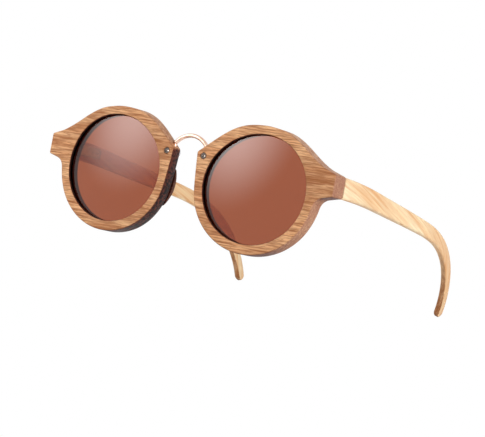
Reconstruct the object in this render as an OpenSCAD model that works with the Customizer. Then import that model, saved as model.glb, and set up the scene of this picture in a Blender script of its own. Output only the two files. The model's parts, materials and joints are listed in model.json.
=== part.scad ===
// Round wooden sunglasses: two flat wooden rims joined by a bent metal bridge, tinted lenses in
// grooves, and wooden temples on spring hinges. Millimetres. Left and right are the wearer's.
// Each side is drawn in its own frame: x runs from the opening's centre towards the temple,
// y runs back from the rim's front face, z runs up. The pair is then stood on its rims and tips.

/* [Front] */
// Width of each lens opening
opening_w = 47.4; // [42:0.2:52]
// Height of each lens opening
opening_h = 44.2; // [38:0.2:48]
// Lean of the opening's top towards the temple
opening_lean = 1.2; // [0:0.1:1.6]
// Distance between the centres of the two openings
eye_spacing = 69.8; // [67:0.2:78]
// Thickness of the wooden front
front_t = 6.6; // [6:0.1:8]
// Width of the rim beside and below the opening
rim_w = 4.1; // [3.8:0.1:6]
// Width of the rim above the opening
brow_w = 3.6; // [3:0.1:6]
// Angle by which each rim turns back towards its temple
wrap = 2.5; // [0:0.5:5]
// Chamfer on the rim's edges
edge_break = 0.5; // [0.2:0.1:0.8]
// Length over which the outline's corners are rounded
corner_r = 1.4; // [0.8:0.1:2]
// Reach of the nasal corner beyond the rim's side
nasal_flare = 1.2; // [0.4:0.1:1.4]
// Height of the nasal corner above the bridge screw
nasal_rise = 1.4; // [1.4:0.1:2.4]
// Bevel behind the rim's nasal side, which makes room for the nose
nose_bevel = 1.2; // [0:0.1:1.6]
// Length of that bevel along the rim's wall
nose_bevel_len = 2; // [1:0.1:2.6]
// Fall of the brow line on the nasal side
nasal_brow_drop = 4.4; // [3:0.1:5]
// Fall of the brow line on the temple side
temple_brow_drop = 2.1; // [1.4:0.1:2.8]

/* [Endpiece] */
// Reach of the endpiece beyond the opening
endpiece_reach = 13.1; // [12.7:0.1:17]
// Slant of the endpiece's end: how far its front edge stands back from its rear edge
endpiece_slant = 1; // [0:0.1:2]
// Height of the endpiece at its end
endpiece_h = 8.6; // [8:0.1:11]
// Height of the endpiece's middle above the opening's centre
endpiece_z = 6.2; // [3:0.1:8]
// Height above the endpiece at which its shoulder meets the rim
shoulder_rise = 2.9; // [2:0.1:4]
// Depth of the hollow under the endpiece
armpit_drop = 1.9; // [1:0.1:2.4]

/* [Lens] */
// Thickness of the lens
lens_t = 1.4; // [1:0.1:2]
// Radius of the lens's front curve
lens_radius = 150; // [110:5:250]
// Depth of the groove that holds the lens
groove_depth = 0.9; // [0.6:0.1:1.3]
// Depth of the groove's middle behind the front face
groove_y = 2.2; // [2:0.1:3]
// Play of the lens's edge at the bottom of its groove
lens_play = 0.2; // [0.1:0.05:0.3]
// Play of the lens between the groove's two walls
groove_play = 0.6; // [0.5:0.05:0.8]

/* [Bridge] */
// Diameter of the bridge wire
bridge_wire = 1.8; // [1.4:0.1:2.4]
// Rise of the arch above its two ends
bridge_rise = 3.8; // [2:0.1:5]
// Distance of each end of the arch beyond the rim's nasal corner
bridge_landing = 2; // [1.6:0.1:2.4]
// Height of each end of the arch above that corner
bridge_lift = 2.4; // [2.2:0.1:3]
// Thickness of the flattened tab at each end of the wire
tab_t = 1.2; // [0.8:0.1:1.6]
// Depth of the tab's middle behind the rim's front face
tab_y = 3.4; // [2.4:0.1:3.6]
// Width of the tab
tab_w = 2.4; // [2:0.1:3]
// Radius of the tab's round end at the screw
paddle_r = 2; // [1.6:0.05:2.1]
// Play of the tab in its slot
tab_play = 0.15; // [0.1:0.05:0.25]
// Distance of the bridge screw from the nasal edge of the rim
screw_inset = 2.6; // [2.2:0.1:3.2]
// Height of the bridge screw above the opening's centre
screw_z = 10.1; // [9:0.1:11]
// Radius of the bridge screw's shank
screw_r = 0.8; // [0.6:0.05:1]
// Radius of the bridge screw's domed head
screw_head_r = 1.25; // [1.1:0.05:1.5]
// Height of the domed head
screw_head_h = 0.7; // [0.5:0.05:1]
// Radius of the nut behind the rim
nut_r = 1.6; // [1.4:0.05:1.9]
// Height of the nut
nut_h = 1; // [0.8:0.1:1.4]

/* [Nose pads] */
// Height that the wooden pad stands off the back of the rim
pad_h = 2.1; // [1.5:0.1:4]
// Height of the pad at its two ends
pad_end_h = 0.9; // [0.8:0.1:1.5]
// Height of the pad's foot before it tapers
pad_foot = 0.4; // [0.2:0.1:0.8]
// Lean of the pad towards the nose
pad_lean = 0.5; // [0:0.1:1.5]
// Half the width of the pad's foot
pad_r = 1.6; // [1.3:0.05:1.8]

/* [Temple] */
// Length of the temple along its curve
temple_len = 145; // [136:1:154]
// Length before the hook starts to bend
straight_len = 76; // [66:1:86]
// Thickness of the temple at the hinge
temple_t = 4; // [3.6:0.1:5]
// Thickness of the temple at its tip
tip_t = 2.7; // [2.4:0.1:4]
// Height of the temple where the hook starts
shank_h = 6.4; // [5.8:0.1:8]
// Height of the temple near its tip
tip_h = 4.6; // [4:0.1:7]
// Angle by which the straight stretch slopes down
droop = 6; // [3:0.5:8]
// Angle by which the hook bends down
hook_bend = 81; // [70:1:90]
// Angle by which the hook turns inwards
hook_in = 14.5; // [8:0.5:16]
// Radius that rounds the temple's long edges
temple_edge_r = 1; // [0.5:0.1:1.4]
// Length over which the temple eases from the endpiece into its slope
ease_len = 30; // [20:1:40]
// Length before the hook over which the inward turn already starts
hook_lead_len = 20; // [10:1:30]
// Length over which the tip is rounded
tip_len = 2.4; // [1.5:0.1:3]
// Gap between the open temple and the endpiece
butt_gap = 0.15; // [0.05:0.05:0.3]

/* [Hinge] */
// Radius of the hinge screw's shank
pin_r = 0.7; // [0.6:0.05:0.8]
// Radial play of the hinge screw in the eye and the knuckles
pin_play = 0.04; // [0.02:0.01:0.08]
// Radius of the knuckles and the eye
knuckle_r = 1.45; // [1.3:0.05:1.6]
// Height of each knuckle of the front leaf
knuckle_h = 1.5; // [1.2:0.1:1.8]
// Height of the eye between them
eye_h = 2; // [1.6:0.1:2.4]
// Gap between the eye and each knuckle
knuckle_gap = 0.08; // [0.05:0.01:0.15]
// Distance of the hinge screw inside the temple's inner face
pin_inset = 1.7; // [1.65:0.05:2]
// Distance of the hinge screw behind the front
pin_setback = 2.2; // [2:0.1:2.6]
// Thickness of the leaf let into the back of the endpiece
leaf_t = 0.8; // [0.6:0.1:1]
// Length of the leaf
leaf_len = 7.2; // [6.6:0.1:7.4]
// Height of the leaf
leaf_h = 6.8; // [6:0.1:7.4]
// Radius of the screws that hold the leaf and the spring box
wood_screw_r = 0.5; // [0.4:0.05:0.6]
// Head radius of those screws
wood_screw_head_r = 0.95; // [0.8:0.05:1]
// Length of those screws
wood_screw_len = 2.8; // [2.2:0.1:3]
// Depth of their countersunk heads
wood_screw_head_h = 0.5; // [0.3:0.05:0.6]
// Distance of the leaf's screws from its end
leaf_screw_inset = 2; // [1.6:0.1:2.4]
// Distance between the leaf's two screws
leaf_screw_spacing = 3.8; // [3:0.1:4.2]

/* [Spring box] */
// Gap between the hinge's eye and the spring box
box_gap = 0.65; // [0.5:0.05:1]
// Length of the spring box on the temple
box_len = 11; // [10.6:0.1:13]
// Thickness of the wall that closes the spring's bore
box_end_t = 1; // [0.6:0.1:1.4]
// Height of the spring box
box_h = 4.4; // [3.8:0.1:5]
// Thickness of the spring box
box_t = 2.8; // [2.7:0.1:3.2]
// Depth to which the box is let into the temple
box_sink = 0.6; // [0.4:0.1:0.8]
// Length of the tail plate behind the box
tail_len = 8; // [7:0.2:10]
// Distance of the tail plate's screws from its ends
tail_screw_inset = 2; // [1.6:0.1:2.4]
// Thickness of the tail plate
tail_t = 0.8; // [0.7:0.1:1]
// Radius of the bore for the spring
bore_r = 1.05; // [1:0.05:1.15]
// Radius of the slider's rod
rod_r = 0.5; // [0.4:0.02:0.52]
// Length of the bush that closes the bore
bush_len = 1.5; // [1:0.1:2]
// Thickness of the collar on the rod's end
collar_t = 0.8; // [0.6:0.1:1]
// Diameter of the spring's wire
spring_wire = 0.3; // [0.2:0.02:0.32]
// Number of turns of the spring
spring_turns = 7; // [4:1:7]
// Length of the spring between the bush and the collar
spring_len = 5.6; // [5.4:0.1:6]

/* [Hidden] */
$fn = 64;

wood_front = [0.76, 0.53, 0.32];
wood_temple = [0.90, 0.74, 0.52];
metal_rose = [0.85, 0.70, 0.62];
metal_steel = [0.72, 0.72, 0.74];
lens_brown = [0.45, 0.24, 0.17, 0.85];

// Sizes that follow from the driving ones
half_w = opening_w / 2;
half_h = opening_h / 2;
side_x = half_w + rim_w;
foot_z = half_h + rim_w;
brow_z = half_h + brow_w;
end_x = half_w + endpiece_reach;
end_low = endpiece_z - endpiece_h / 2;
end_high = endpiece_z + endpiece_h / 2;
temple_in = end_x - temple_t;
pin_x = temple_in - pin_inset;
pin_y = front_t + pin_setback;
hinge_z = endpiece_z;
screw_x = -side_x - nasal_flare / 2 + screw_inset;
stack_h = eye_h + 2 * knuckle_h + 2 * knuckle_gap;
fit_play = 0.02;
cut = 0.5;

// Rim outline
// Corner cutting turns a control polygon into a smooth closed loop.
function cut_corners(p, passes) = passes == 0 ? p : cut_corners([
    for (i = [0 : len(p) - 1], k = [0.25, 0.75]) p[i] * (1 - k) + p[(i + 1) % len(p)] * k
], passes - 1);
function unit(v) = v / norm(v);
// Three control points that keep a corner crisp, with a radius of about half of r.
function crisp(a, p, b, r) = [p + r * unit(a - p), p, p + r * unit(b - p)];

ring_step = 15;
nasal_corner = [-side_x - nasal_flare, screw_z + nasal_rise];
nasal_side = [-side_x - nasal_flare / 2, 0.2 * half_h];
nasal_brow = [-0.71 * half_w, brow_z - nasal_brow_drop];
end_corner_low = [end_x, end_low];
end_corner_high = [end_x, end_high];
armpit = [side_x + nasal_flare / 2, end_low - armpit_drop];
shoulder = [side_x, end_high + shoulder_rise];
temple_brow = [0.59 * half_w, brow_z - temple_brow_drop];
rim_control = concat(
    [for (t = [195 : ring_step : 345]) [side_x * cos(t), foot_z * sin(t)] / cos(ring_step / 2)],
    [armpit],
    crisp(armpit, end_corner_low, end_corner_high, corner_r),
    crisp(end_corner_low, end_corner_high, shoulder, corner_r),
    [shoulder, temple_brow, [0.17 * half_w, brow_z], [-0.13 * half_w, brow_z],
     [-0.42 * half_w, brow_z - nasal_brow_drop / 4], nasal_brow],
    crisp(nasal_brow, nasal_corner, nasal_side, corner_r),
    [nasal_side]
);
rim_outline = cut_corners(rim_control, 2);

function inset(loop, d) = let (n = len(loop)) [
    for (i = [0 : n - 1])
        let (t = unit(loop[(i + 1) % n] - loop[(i + n - 1) % n])) loop[i] + d * [-t.y, t.x]
];
// Moves the upper half of an opening towards the temple, most at the top.
function leaned(p) = [p.x + opening_lean * pow(max(0, p.y) / half_h, 2), p.y];
// The opening grown by d, sampled on the rays through the outline's points.
function opening_at(d) = [
    for (p = rim_outline)
        let (r = norm([p.x / (half_w + d), p.y / (half_h + d)])) leaned(p / r)
];
function at_depth(loop, y) = [for (p = loop) [p.x, y, p.y]];
// The rim's outer wall at depth y: its endpiece slants and its nasal side is bevelled behind.
function wall_at(margin, y) = let (
    short = endpiece_slant * (1 - y / front_t),
    bevel = nose_bevel * max(0, 1 - (front_t - y) / nose_bevel_len))
    at_depth([
        for (p = inset(rim_outline, margin))
            let (out = max(0, (p.x - side_x) / (end_x - side_x)), nose = max(0, -p.x / side_x))
            [p.x - short * out + bevel * pow(nose, 3), p.y]
    ], y);
function join(lists) = [for (l = lists) for (p = l) p];

// A closed skin through loops of equal length; closed loops back on to the first.
module skin(loops, closed) {
    n = len(loops[0]);
    m = len(loops);
    bands = closed ? m : m - 1;
    walls = [
        for (j = [0 : bands - 1], i = [0 : n - 1])
            let (a = j * n + i, b = j * n + (i + 1) % n,
                 c = ((j + 1) % m) * n + (i + 1) % n, d = ((j + 1) % m) * n + i)
            each [[a, b, c], [a, c, d]]
    ];
    lids = closed ? [] : [
        for (i = [1 : n - 2]) each [[0, i + 1, i], [(m - 1) * n, (m - 1) * n + i, (m - 1) * n + i + 1]]
    ];
    polyhedron(points = join(loops), faces = concat(walls, lids), convexity = 8);
}

// Frames
module side(s) {
    stand() mirror([s < 0 ? 1 : 0, 0, 0]) translate([eye_spacing / 2, 0, 0]) rotate([0, 0, wrap]) children();
}
function to_front(p) = [
    eye_spacing / 2 + p.x * cos(wrap) - p.y * sin(wrap), p.x * sin(wrap) + p.y * cos(wrap), p.z
];

// Temple path: arc length s, angle down and angle inwards, added up in short steps.
temple_steps = 36;
butt_y = front_t + butt_gap;
hook_power = 1.8;
function station(i) = let (tip_start = temple_len - tip_len)
    i <= temple_steps - 6 ? tip_start * i / (temple_steps - 6)
    : tip_start + tip_len * sin(90 * (i - temple_steps + 6) / 6.15);
function down_at(s) = droop * min(1, s / ease_len)
    + hook_bend * pow(max(0, (s - straight_len) / (temple_len - straight_len)), hook_power);
function turn_at(s) = hook_in
    * max(0, (s - straight_len + hook_lead_len) / (temple_len - straight_len + hook_lead_len));
function heading(s) = let (a = down_at(s), g = turn_at(s)) [-sin(g), cos(g) * cos(a), -cos(g) * sin(a)];
function height_at(s) = s < straight_len
    ? endpiece_h + (shank_h - endpiece_h) * s / straight_len
    : shank_h + (tip_h - shank_h) * (s - straight_len) / (temple_len - straight_len);
function thick_at(s) = temple_t + (tip_t - temple_t) * s / temple_len;
function tip_share(s) = let (x = max(0, (s - temple_len + tip_len) / tip_len)) sqrt(max(0, 1 - x * x));
temple_path = [
    for (i = 0, p = [end_x - temple_t / 2, butt_y, endpiece_z]; i <= temple_steps;
         i = i + 1,
         p = p + (i > temple_steps ? 0 : station(i) - station(i - 1))
             * heading((station(min(i, temple_steps)) + station(i - 1)) / 2)) p
];
corner_steps = [0, 45, 90];
function temple_ring(i) = let (
    s = station(i), d = heading(s), a = down_at(s),
    up = [0, sin(a), cos(a)], out = cross(d, up), k = tip_share(s),
    h = height_at(s) / 2 * k, t = thick_at(s) / 2 * (0.5 + 0.5 * k), r = min(temple_edge_r, 0.9 * h, 0.9 * t))
    [for (q = [[1, 1, 0], [-1, 1, 90], [-1, -1, 180], [1, -1, 270]], c = corner_steps)
        temple_path[i] + out * (q[0] * (t - r) + r * cos(q[2] + c)) + up * (q[1] * (h - r) + r * sin(q[2] + c))];
temple_rings = [for (i = [0 : temple_steps]) temple_ring(i)];

// Stand: turned about x until the rims and the temple tips touch one floor, then centred.
rim_feet = [for (p = rim_outline) to_front([p.x, edge_break, p.y])];
temple_feet = [for (r = temple_rings, p = r) to_front(p)];
function lean(p, a) = [p.x, p.y * cos(a) - p.z * sin(a), p.y * sin(a) + p.z * cos(a)];
function lowest(points, a) = let (
    z = [for (p = points) lean(p, a).z], low = min(z)) points[search(low, z)[0]];
function stand_angle(a, tries) = let (f = lowest(rim_feet, a), t = lowest(temple_feet, a),
    b = atan2(f.z - t.z, t.y - f.y)) tries == 0 ? b : stand_angle(b, tries - 1);
stand_lean = stand_angle(0, 6);
floor_z = lean(lowest(rim_feet, stand_lean), stand_lean).z;
rim_face = concat([for (p = inset(rim_outline, edge_break)) to_front([p.x, 0, p.y])],
                  [to_front([screw_x, -screw_head_h, screw_z])]);
front_y = min([for (p = rim_face) lean(p, stand_lean).y]);
back_y = max([for (p = temple_feet) lean(p, stand_lean).y]);
module stand() {
    translate([0, -(front_y + back_y) / 2, -floor_z]) rotate([stand_lean, 0, 0]) children();
}
function stood(p) = lean(p, stand_lean) - [0, (front_y + back_y) / 2, floor_z];

// Bridge geometry, shared with the slots that hold it
tab_top = [nasal_corner.x + bridge_landing, nasal_corner.y + bridge_lift];
arch_end = to_front([tab_top.x, tab_y, tab_top.y]);
bridge_radius = (arch_end.x * arch_end.x + bridge_rise * bridge_rise) / (2 * bridge_rise);
arch_angle = 2 * atan2(bridge_rise, arch_end.x);
arch_z = arch_end.z + bridge_rise - bridge_radius;
module along_y(r, y0, y1) {
    translate([0, y0, 0]) rotate([-90, 0, 0]) cylinder(r = r, h = y1 - y0);
}
// The flat tab from the end of the arch to the bridge screw, grown by play.
module tab(play) {
    run = tab_top - [screw_x, screw_z];
    translate([screw_x, tab_y, screw_z]) {
        rotate([0, -atan2(run.y, run.x), 0])
            translate([0, -tab_t / 2 - play, -tab_w / 2 - play])
                cube([norm(run), tab_t + 2 * play, tab_w + 2 * play]);
        along_y(paddle_r + play, -tab_t / 2 - play, tab_t / 2 + play);
    }
}

// Hinge pieces that the wood is cut for
leaf_x = pin_x + knuckle_r - leaf_len;
leaf_screw_x = leaf_x + leaf_screw_inset;
box_y = pin_y + knuckle_r + box_gap;
box_mid_x = temple_in + box_sink - box_t / 2;
tail_y = box_y + box_len;
box_screw_y = [tail_y + tail_screw_inset, tail_y + tail_len - tail_screw_inset];
// A countersunk screw whose head lies flush with y = 0 and whose shank runs along +y.
module wood_screw(grow) {
    rotate([-90, 0, 0]) {
        cylinder(r1 = wood_screw_head_r + grow, r2 = wood_screw_r + grow, h = wood_screw_head_h);
        cylinder(r = wood_screw_r + grow, h = wood_screw_len + grow);
    }
}
module leaf_screw_places() {
    for (dz = [-leaf_screw_spacing / 2, leaf_screw_spacing / 2])
        translate([leaf_screw_x, front_t, hinge_z + dz]) rotate([0, 0, 180]) children();
}
module box_screw_places() {
    for (y = box_screw_y)
        translate([temple_in + box_sink - tail_t, y, hinge_z]) rotate([0, 0, -90]) children();
}
module leaf_plate(play) {
    translate([leaf_x - play, front_t - leaf_t - play, hinge_z - leaf_h / 2 - play])
        cube([leaf_len + 2 * play, leaf_t + play + (play > 0 ? cut : 0), leaf_h + 2 * play]);
}
module box_block(play) {
    x1 = temple_in + box_sink;
    translate([x1 - box_t - play, box_y - play, hinge_z - box_h / 2 - play])
        cube([box_t + 2 * play, box_len + 2 * play, box_h + 2 * play]);
    translate([x1 - tail_t - (play > 0 ? cut : 0), box_y, hinge_z - box_h / 2 - play])
        cube([tail_t + play + (play > 0 ? cut : 0), box_len + tail_len + play, box_h + 2 * play]);
}

// Wooden front
module rim() {
    groove_h = lens_t + groove_play;
    g0 = groove_y - groove_h / 2;
    g1 = groove_y + groove_h / 2;
    e = edge_break;
    loops = [
        wall_at(e, 0),
        wall_at(0, e),
        wall_at(0, front_t - nose_bevel_len),
        wall_at(0, front_t - e),
        wall_at(e, front_t),
        at_depth(opening_at(e), front_t),
        at_depth(opening_at(0), front_t - e),
        at_depth(opening_at(0), g1),
        at_depth(opening_at(groove_depth), g1),
        at_depth(opening_at(groove_depth), g0),
        at_depth(opening_at(0), g0),
        at_depth(opening_at(0), e),
        at_depth(opening_at(e), 0)
    ];
    color(wood_front) difference() {
        skin(loops, true);
        tab(tab_play);
        translate([screw_x, 0, screw_z]) along_y(screw_r + fit_play, -cut, front_t + cut);
        leaf_plate(fit_play);
        leaf_screw_places() wood_screw(fit_play);
    }
}

module lens() {
    edge = groove_depth - lens_play;
    steps = 96;
    outline = [for (i = [0 : steps - 1])
        leaned([(half_w + edge) * cos(360 * i / steps), (half_h + edge) * sin(360 * i / steps)])];
    mid_r = (half_w + half_h) / 2;
    sag = lens_radius - sqrt(lens_radius * lens_radius - mid_r * mid_r);
    centre_y = groove_y - lens_t / 2 - sag + lens_radius;
    color(lens_brown) intersection() {
        translate([0, centre_y, 0]) difference() {
            sphere(r = lens_radius);
            sphere(r = lens_radius - lens_t);
        }
        translate([0, front_t + cut, 0]) rotate([90, 0, 0]) linear_extrude(front_t + 2 * cut) polygon(outline);
    }
}

module nose_pad() {
    pad_angles = [174, 190, 206];
    mid_x = half_w + rim_w / 2;
    mid_z = half_h + rim_w / 2;
    color(wood_front) hull() for (t = pad_angles) {
        crown = t == pad_angles[1] ? pad_h : pad_end_h;
        translate([mid_x * cos(t), 0, mid_z * sin(t)]) along_y(pad_r, front_t, front_t + pad_foot, $fn = 24);
        translate([mid_x * cos(t) - pad_lean, 0, mid_z * sin(t)])
            along_y(0.6 * pad_r, front_t, front_t + crown, $fn = 24);
    }
}

// Metal bridge
module bridge() {
    color(metal_rose) {
        stand() translate([0, arch_end.y, arch_z]) rotate([90, 0, 0])
            rotate([0, 0, 90 - arch_angle]) rotate_extrude(angle = 2 * arch_angle)
                translate([bridge_radius, 0]) circle(d = bridge_wire, $fn = 32);
        for (s = [1, -1]) side(s) difference() {
            tab(0);
            translate([screw_x, 0, screw_z]) along_y(screw_r + fit_play, 0, front_t);
        }
    }
}
module bridge_screw() {
    dome_r = (screw_head_r * screw_head_r + screw_head_h * screw_head_h) / (2 * screw_head_h);
    translate([screw_x, 0, screw_z]) {
        along_y(screw_r, 0, front_t + nut_h);
        intersection() {
            translate([0, dome_r - screw_head_h, 0]) sphere(r = dome_r);
            along_y(screw_head_r, -screw_head_h, 0);
        }
    }
}
module bridge_nut() {
    translate([screw_x, 0, screw_z]) difference() {
        along_y(nut_r, front_t, front_t + nut_h);
        along_y(screw_r + fit_play, front_t - cut, front_t + nut_h + cut);
    }
}
module bridge_screws() { color(metal_steel) for (s = [1, -1]) side(s) bridge_screw(); }
module bridge_nuts() { color(metal_steel) for (s = [1, -1]) side(s) bridge_nut(); }

// Hinge: the leaf let into the front, the screw, and the sprung slider with its eye
module at_pin(z) { translate([pin_x, pin_y, hinge_z + z]) children(); }
knuckle_low = [-stack_h / 2, stack_h / 2 - knuckle_h];
module hinge_leaf() {
    color(metal_steel) difference() {
        union() {
            leaf_plate(0);
            for (z = knuckle_low) at_pin(z) {
                cylinder(r = knuckle_r, h = knuckle_h);
                translate([-knuckle_r, -pin_setback, 0]) cube([2 * knuckle_r, pin_setback, knuckle_h]);
            }
        }
        at_pin(-stack_h) cylinder(r = pin_r + pin_play, h = 2 * stack_h);
        leaf_screw_places() wood_screw(fit_play);
    }
}
module leaf_screws() { color(metal_steel) leaf_screw_places() wood_screw(0); }
pin_head_h = 0.5;
module hinge_screw() {
    slot = 0.3;
    color(metal_steel) difference() {
        union() {
            at_pin(-stack_h / 2) cylinder(r = pin_r, h = stack_h);
            at_pin(stack_h / 2) cylinder(r = knuckle_r - 0.15, h = pin_head_h);
        }
        at_pin(stack_h / 2 + pin_head_h / 2) translate([-knuckle_r, -slot / 2, 0]) cube([2 * knuckle_r, slot, pin_head_h]);
    }
}

neck_gap = 0.1;
neck_t = 1.3;
neck_end = box_y - neck_gap;
rod_len = bush_len + spring_len + collar_t + neck_gap;
module slider() {
    color(metal_steel) difference() {
        union() {
            at_pin(-eye_h / 2) cylinder(r = knuckle_r, h = eye_h);
            translate([box_mid_x - neck_t / 2, pin_y, hinge_z - eye_h / 2]) cube([neck_t, neck_end - pin_y, eye_h]);
            translate([box_mid_x, 0, hinge_z]) along_y(rod_r, neck_end - cut / 2, neck_end + rod_len);
        }
        at_pin(-eye_h) cylinder(r = pin_r + pin_play, h = 2 * eye_h);
    }
}
module spring_box() {
    color(metal_steel) difference() {
        box_block(0);
        translate([box_mid_x, 0, hinge_z]) along_y(bore_r, box_y - cut, box_y + box_len - box_end_t);
        box_screw_places() wood_screw(fit_play);
    }
}
module box_screws() { color(metal_steel) box_screw_places() wood_screw(0); }
bush_y = box_y;
spring_y = bush_y + bush_len;
collar_y = spring_y + spring_len;
module ring_piece(y, t) {
    color(metal_steel) translate([box_mid_x, 0, hinge_z]) difference() {
        along_y(bore_r - fit_play, y, y + t);
        along_y(rod_r + fit_play, y - cut, y + t + cut);
    }
}
module spring_bush() { ring_piece(bush_y, bush_len); }
module spring_collar() { ring_piece(collar_y, collar_t); }

// The spring's wire, swept along a helix with a ring every eighth of a turn.
helix_r = (bore_r + rod_r) / 2;
seat_play = 0.05;
rise = spring_len - spring_wire - 2 * seat_play;
rings_per_turn = 8;
wire_sides = 6;
spring_pitch = rise / spring_turns;
echo(spring_least_gap = spring_pitch - spring_wire);
function helix(k) = let (a = 360 * k / rings_per_turn)
    [helix_r * cos(a), spring_y + seat_play + spring_wire / 2 + spring_pitch * k / rings_per_turn, helix_r * sin(a)];
module spring() {
    loops = [for (k = [0 : spring_turns * rings_per_turn]) let (a = 360 * k / rings_per_turn)
        [for (j = [0 : wire_sides - 1]) let (b = 360 * j / wire_sides)
            helix(k) + spring_wire / 2 * ([cos(a), 0, sin(a)] * cos(b) + [0, 1, 0] * sin(b))]];
    color(metal_steel) translate([box_mid_x, 0, hinge_z]) skin(loops, false);
}

// Wooden temple
module temple() {
    color(wood_temple) difference() {
        skin(temple_rings, false);
        box_block(fit_play);
        box_screw_places() wood_screw(fit_play);
    }
}

echo(left_pin = stood(to_front([pin_x, pin_y, hinge_z])), lean = stand_lean);
echo(left_pin_axis = lean([0, 0, 1], stand_lean), left_slide_axis = lean([-sin(wrap), cos(wrap), 0], stand_lean));
echo(nose_saddle = stood([0, front_t + pad_h, -half_h * 0.2]), tip = stood(to_front(temple_path[temple_steps])));
echo(front = front_y, back = back_y, floor = floor_z);

side(1) rim();  // left_rim
side(-1) rim();  // right_rim
side(1) lens();  // left_lens
side(-1) lens();  // right_lens
side(1) nose_pad();  // left_nose_pad
side(-1) nose_pad();  // right_nose_pad
bridge();
bridge_screws();
bridge_nuts();
side(1) hinge_leaf();  // left_hinge_leaf
side(-1) hinge_leaf();  // right_hinge_leaf
side(1) leaf_screws();  // left_leaf_screws
side(-1) leaf_screws();  // right_leaf_screws
side(1) hinge_screw();  // left_hinge_screw
side(-1) hinge_screw();  // right_hinge_screw
side(1) slider();  // left_slider
side(-1) slider();  // right_slider
side(1) spring();  // left_spring
side(-1) spring();  // right_spring
side(1) spring_bush();  // left_spring_bush
side(-1) spring_bush();  // right_spring_bush
side(1) spring_collar();  // left_spring_collar
side(-1) spring_collar();  // right_spring_collar
side(1) spring_box();  // left_spring_box
side(-1) spring_box();  // right_spring_box
side(1) box_screws();  // left_box_screws
side(-1) box_screws();  // right_box_screws
side(1) temple();  // left_temple
side(-1) temple();  // right_temple
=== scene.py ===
# %% [markdown]
# # Round wooden sunglasses
# The pair has two flat wooden rims, a bent metal bridge between them, tinted lenses that sit in
# grooves, and wooden temples that fold on small sprung hinges. This lesson dresses the packed
# construction model: every piece is made where its solid lies, in metres, and rides on its body.

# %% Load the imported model
import json
import math

import bmesh
import bpy
from mathutils import Matrix, Vector


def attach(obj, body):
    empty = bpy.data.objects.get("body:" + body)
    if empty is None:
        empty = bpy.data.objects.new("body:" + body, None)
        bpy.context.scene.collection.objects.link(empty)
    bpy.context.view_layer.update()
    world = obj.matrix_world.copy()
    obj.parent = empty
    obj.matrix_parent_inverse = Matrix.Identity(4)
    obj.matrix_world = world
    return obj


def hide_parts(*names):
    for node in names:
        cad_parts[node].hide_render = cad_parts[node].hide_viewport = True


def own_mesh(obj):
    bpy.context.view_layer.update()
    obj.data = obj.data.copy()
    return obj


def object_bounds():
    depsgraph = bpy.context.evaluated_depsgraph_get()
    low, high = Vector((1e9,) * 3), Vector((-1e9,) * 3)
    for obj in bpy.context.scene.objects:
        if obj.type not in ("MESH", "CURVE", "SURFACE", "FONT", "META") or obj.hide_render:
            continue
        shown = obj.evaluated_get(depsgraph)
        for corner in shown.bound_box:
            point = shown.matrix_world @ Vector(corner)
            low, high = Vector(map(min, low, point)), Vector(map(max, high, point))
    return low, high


MM = 0.001
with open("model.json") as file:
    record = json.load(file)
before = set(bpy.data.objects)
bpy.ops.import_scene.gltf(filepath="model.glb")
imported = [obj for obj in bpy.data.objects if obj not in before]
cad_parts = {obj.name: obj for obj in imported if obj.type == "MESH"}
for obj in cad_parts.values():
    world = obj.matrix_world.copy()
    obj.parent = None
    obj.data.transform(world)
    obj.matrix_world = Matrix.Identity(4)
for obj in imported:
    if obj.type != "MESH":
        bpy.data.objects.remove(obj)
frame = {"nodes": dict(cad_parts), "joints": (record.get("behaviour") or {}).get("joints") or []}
cad_low, cad_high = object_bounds()
scene = bpy.context.scene
scene.view_settings.view_transform = "Standard"


def span_mm(low, high):
    return [round((b - a) / MM, 1) for a, b in zip(low, high)]


print("solids span", span_mm(cad_low, cad_high), "mm")

# %% [markdown]
# ## One frame for every piece
# A spectacle maker draws one side of the front and mirrors it. So does this lesson: each side has
# a local frame with u towards the temple, d back from the front face and v up, in millimetres.
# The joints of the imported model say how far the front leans, how far each rim wraps round the
# face and where the hinge screw stands, so those angles are read and not typed again.

# %% Side frames, read from the joints
SIDES = {"left": 1, "right": -1}
eye_spacing = 69.8
pin_place = Vector((31.1, 8.8, 6.2))

joints = {joint["name"]: joint for joint in frame["joints"]}
pin_axis = Vector(joints["left_fold"]["axis"])
slide_axis = Vector(joints["left_spring_travel"]["axis"])
lean = math.atan2(-pin_axis.y, pin_axis.z)
wrap = math.asin(-slide_axis.x)
lean_turn = Matrix.Rotation(lean, 3, "X")


def to_front(u, d, v, side=1):
    """A point of one side in the frame of the whole front, in millimetres."""
    x = eye_spacing / 2 + u * math.cos(wrap) - d * math.sin(wrap)
    return Vector((side * x, u * math.sin(wrap) + d * math.cos(wrap), v))


stand = Vector(joints["left_fold"]["pos_m"]) - MM * (lean_turn @ to_front(*pin_place))


def stood(point):
    """A point of the whole front, in millimetres, where it stands in the scene, in metres."""
    return MM * (lean_turn @ point) + stand


def place(u, d, v, side):
    """A point of one side where it stands in the scene."""
    return stood(to_front(u, d, v, side))


def aim(u, d, v, side):
    """A direction of one side as it points in the scene."""
    return (place(u, d, v, side) - place(0, 0, 0, side)).normalized()


print("lean", round(math.degrees(lean), 2), "wrap", round(math.degrees(wrap), 2), "degrees")

# %% [markdown]
# ## Camera
# A catalogue picture of glasses is taken with a long lens, so that the nearer rim isn't swollen.
# The camera was fitted to the openings, the endpieces, the bridge and the near temple. It stands
# below the plane on which the glasses rest, and it is rolled.

# %% Camera at the viewing angle of the photograph
PICTURE_W, PICTURE_H = 485, 437
SENSOR_W = 36
view_azimuth, view_elevation, view_roll = map(math.radians, (35.435, -2.593, 10.752))
view_distance = 925.2
view_lens = 170.34
bridge_middle_pixel = (181.777, 178.013)


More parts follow.
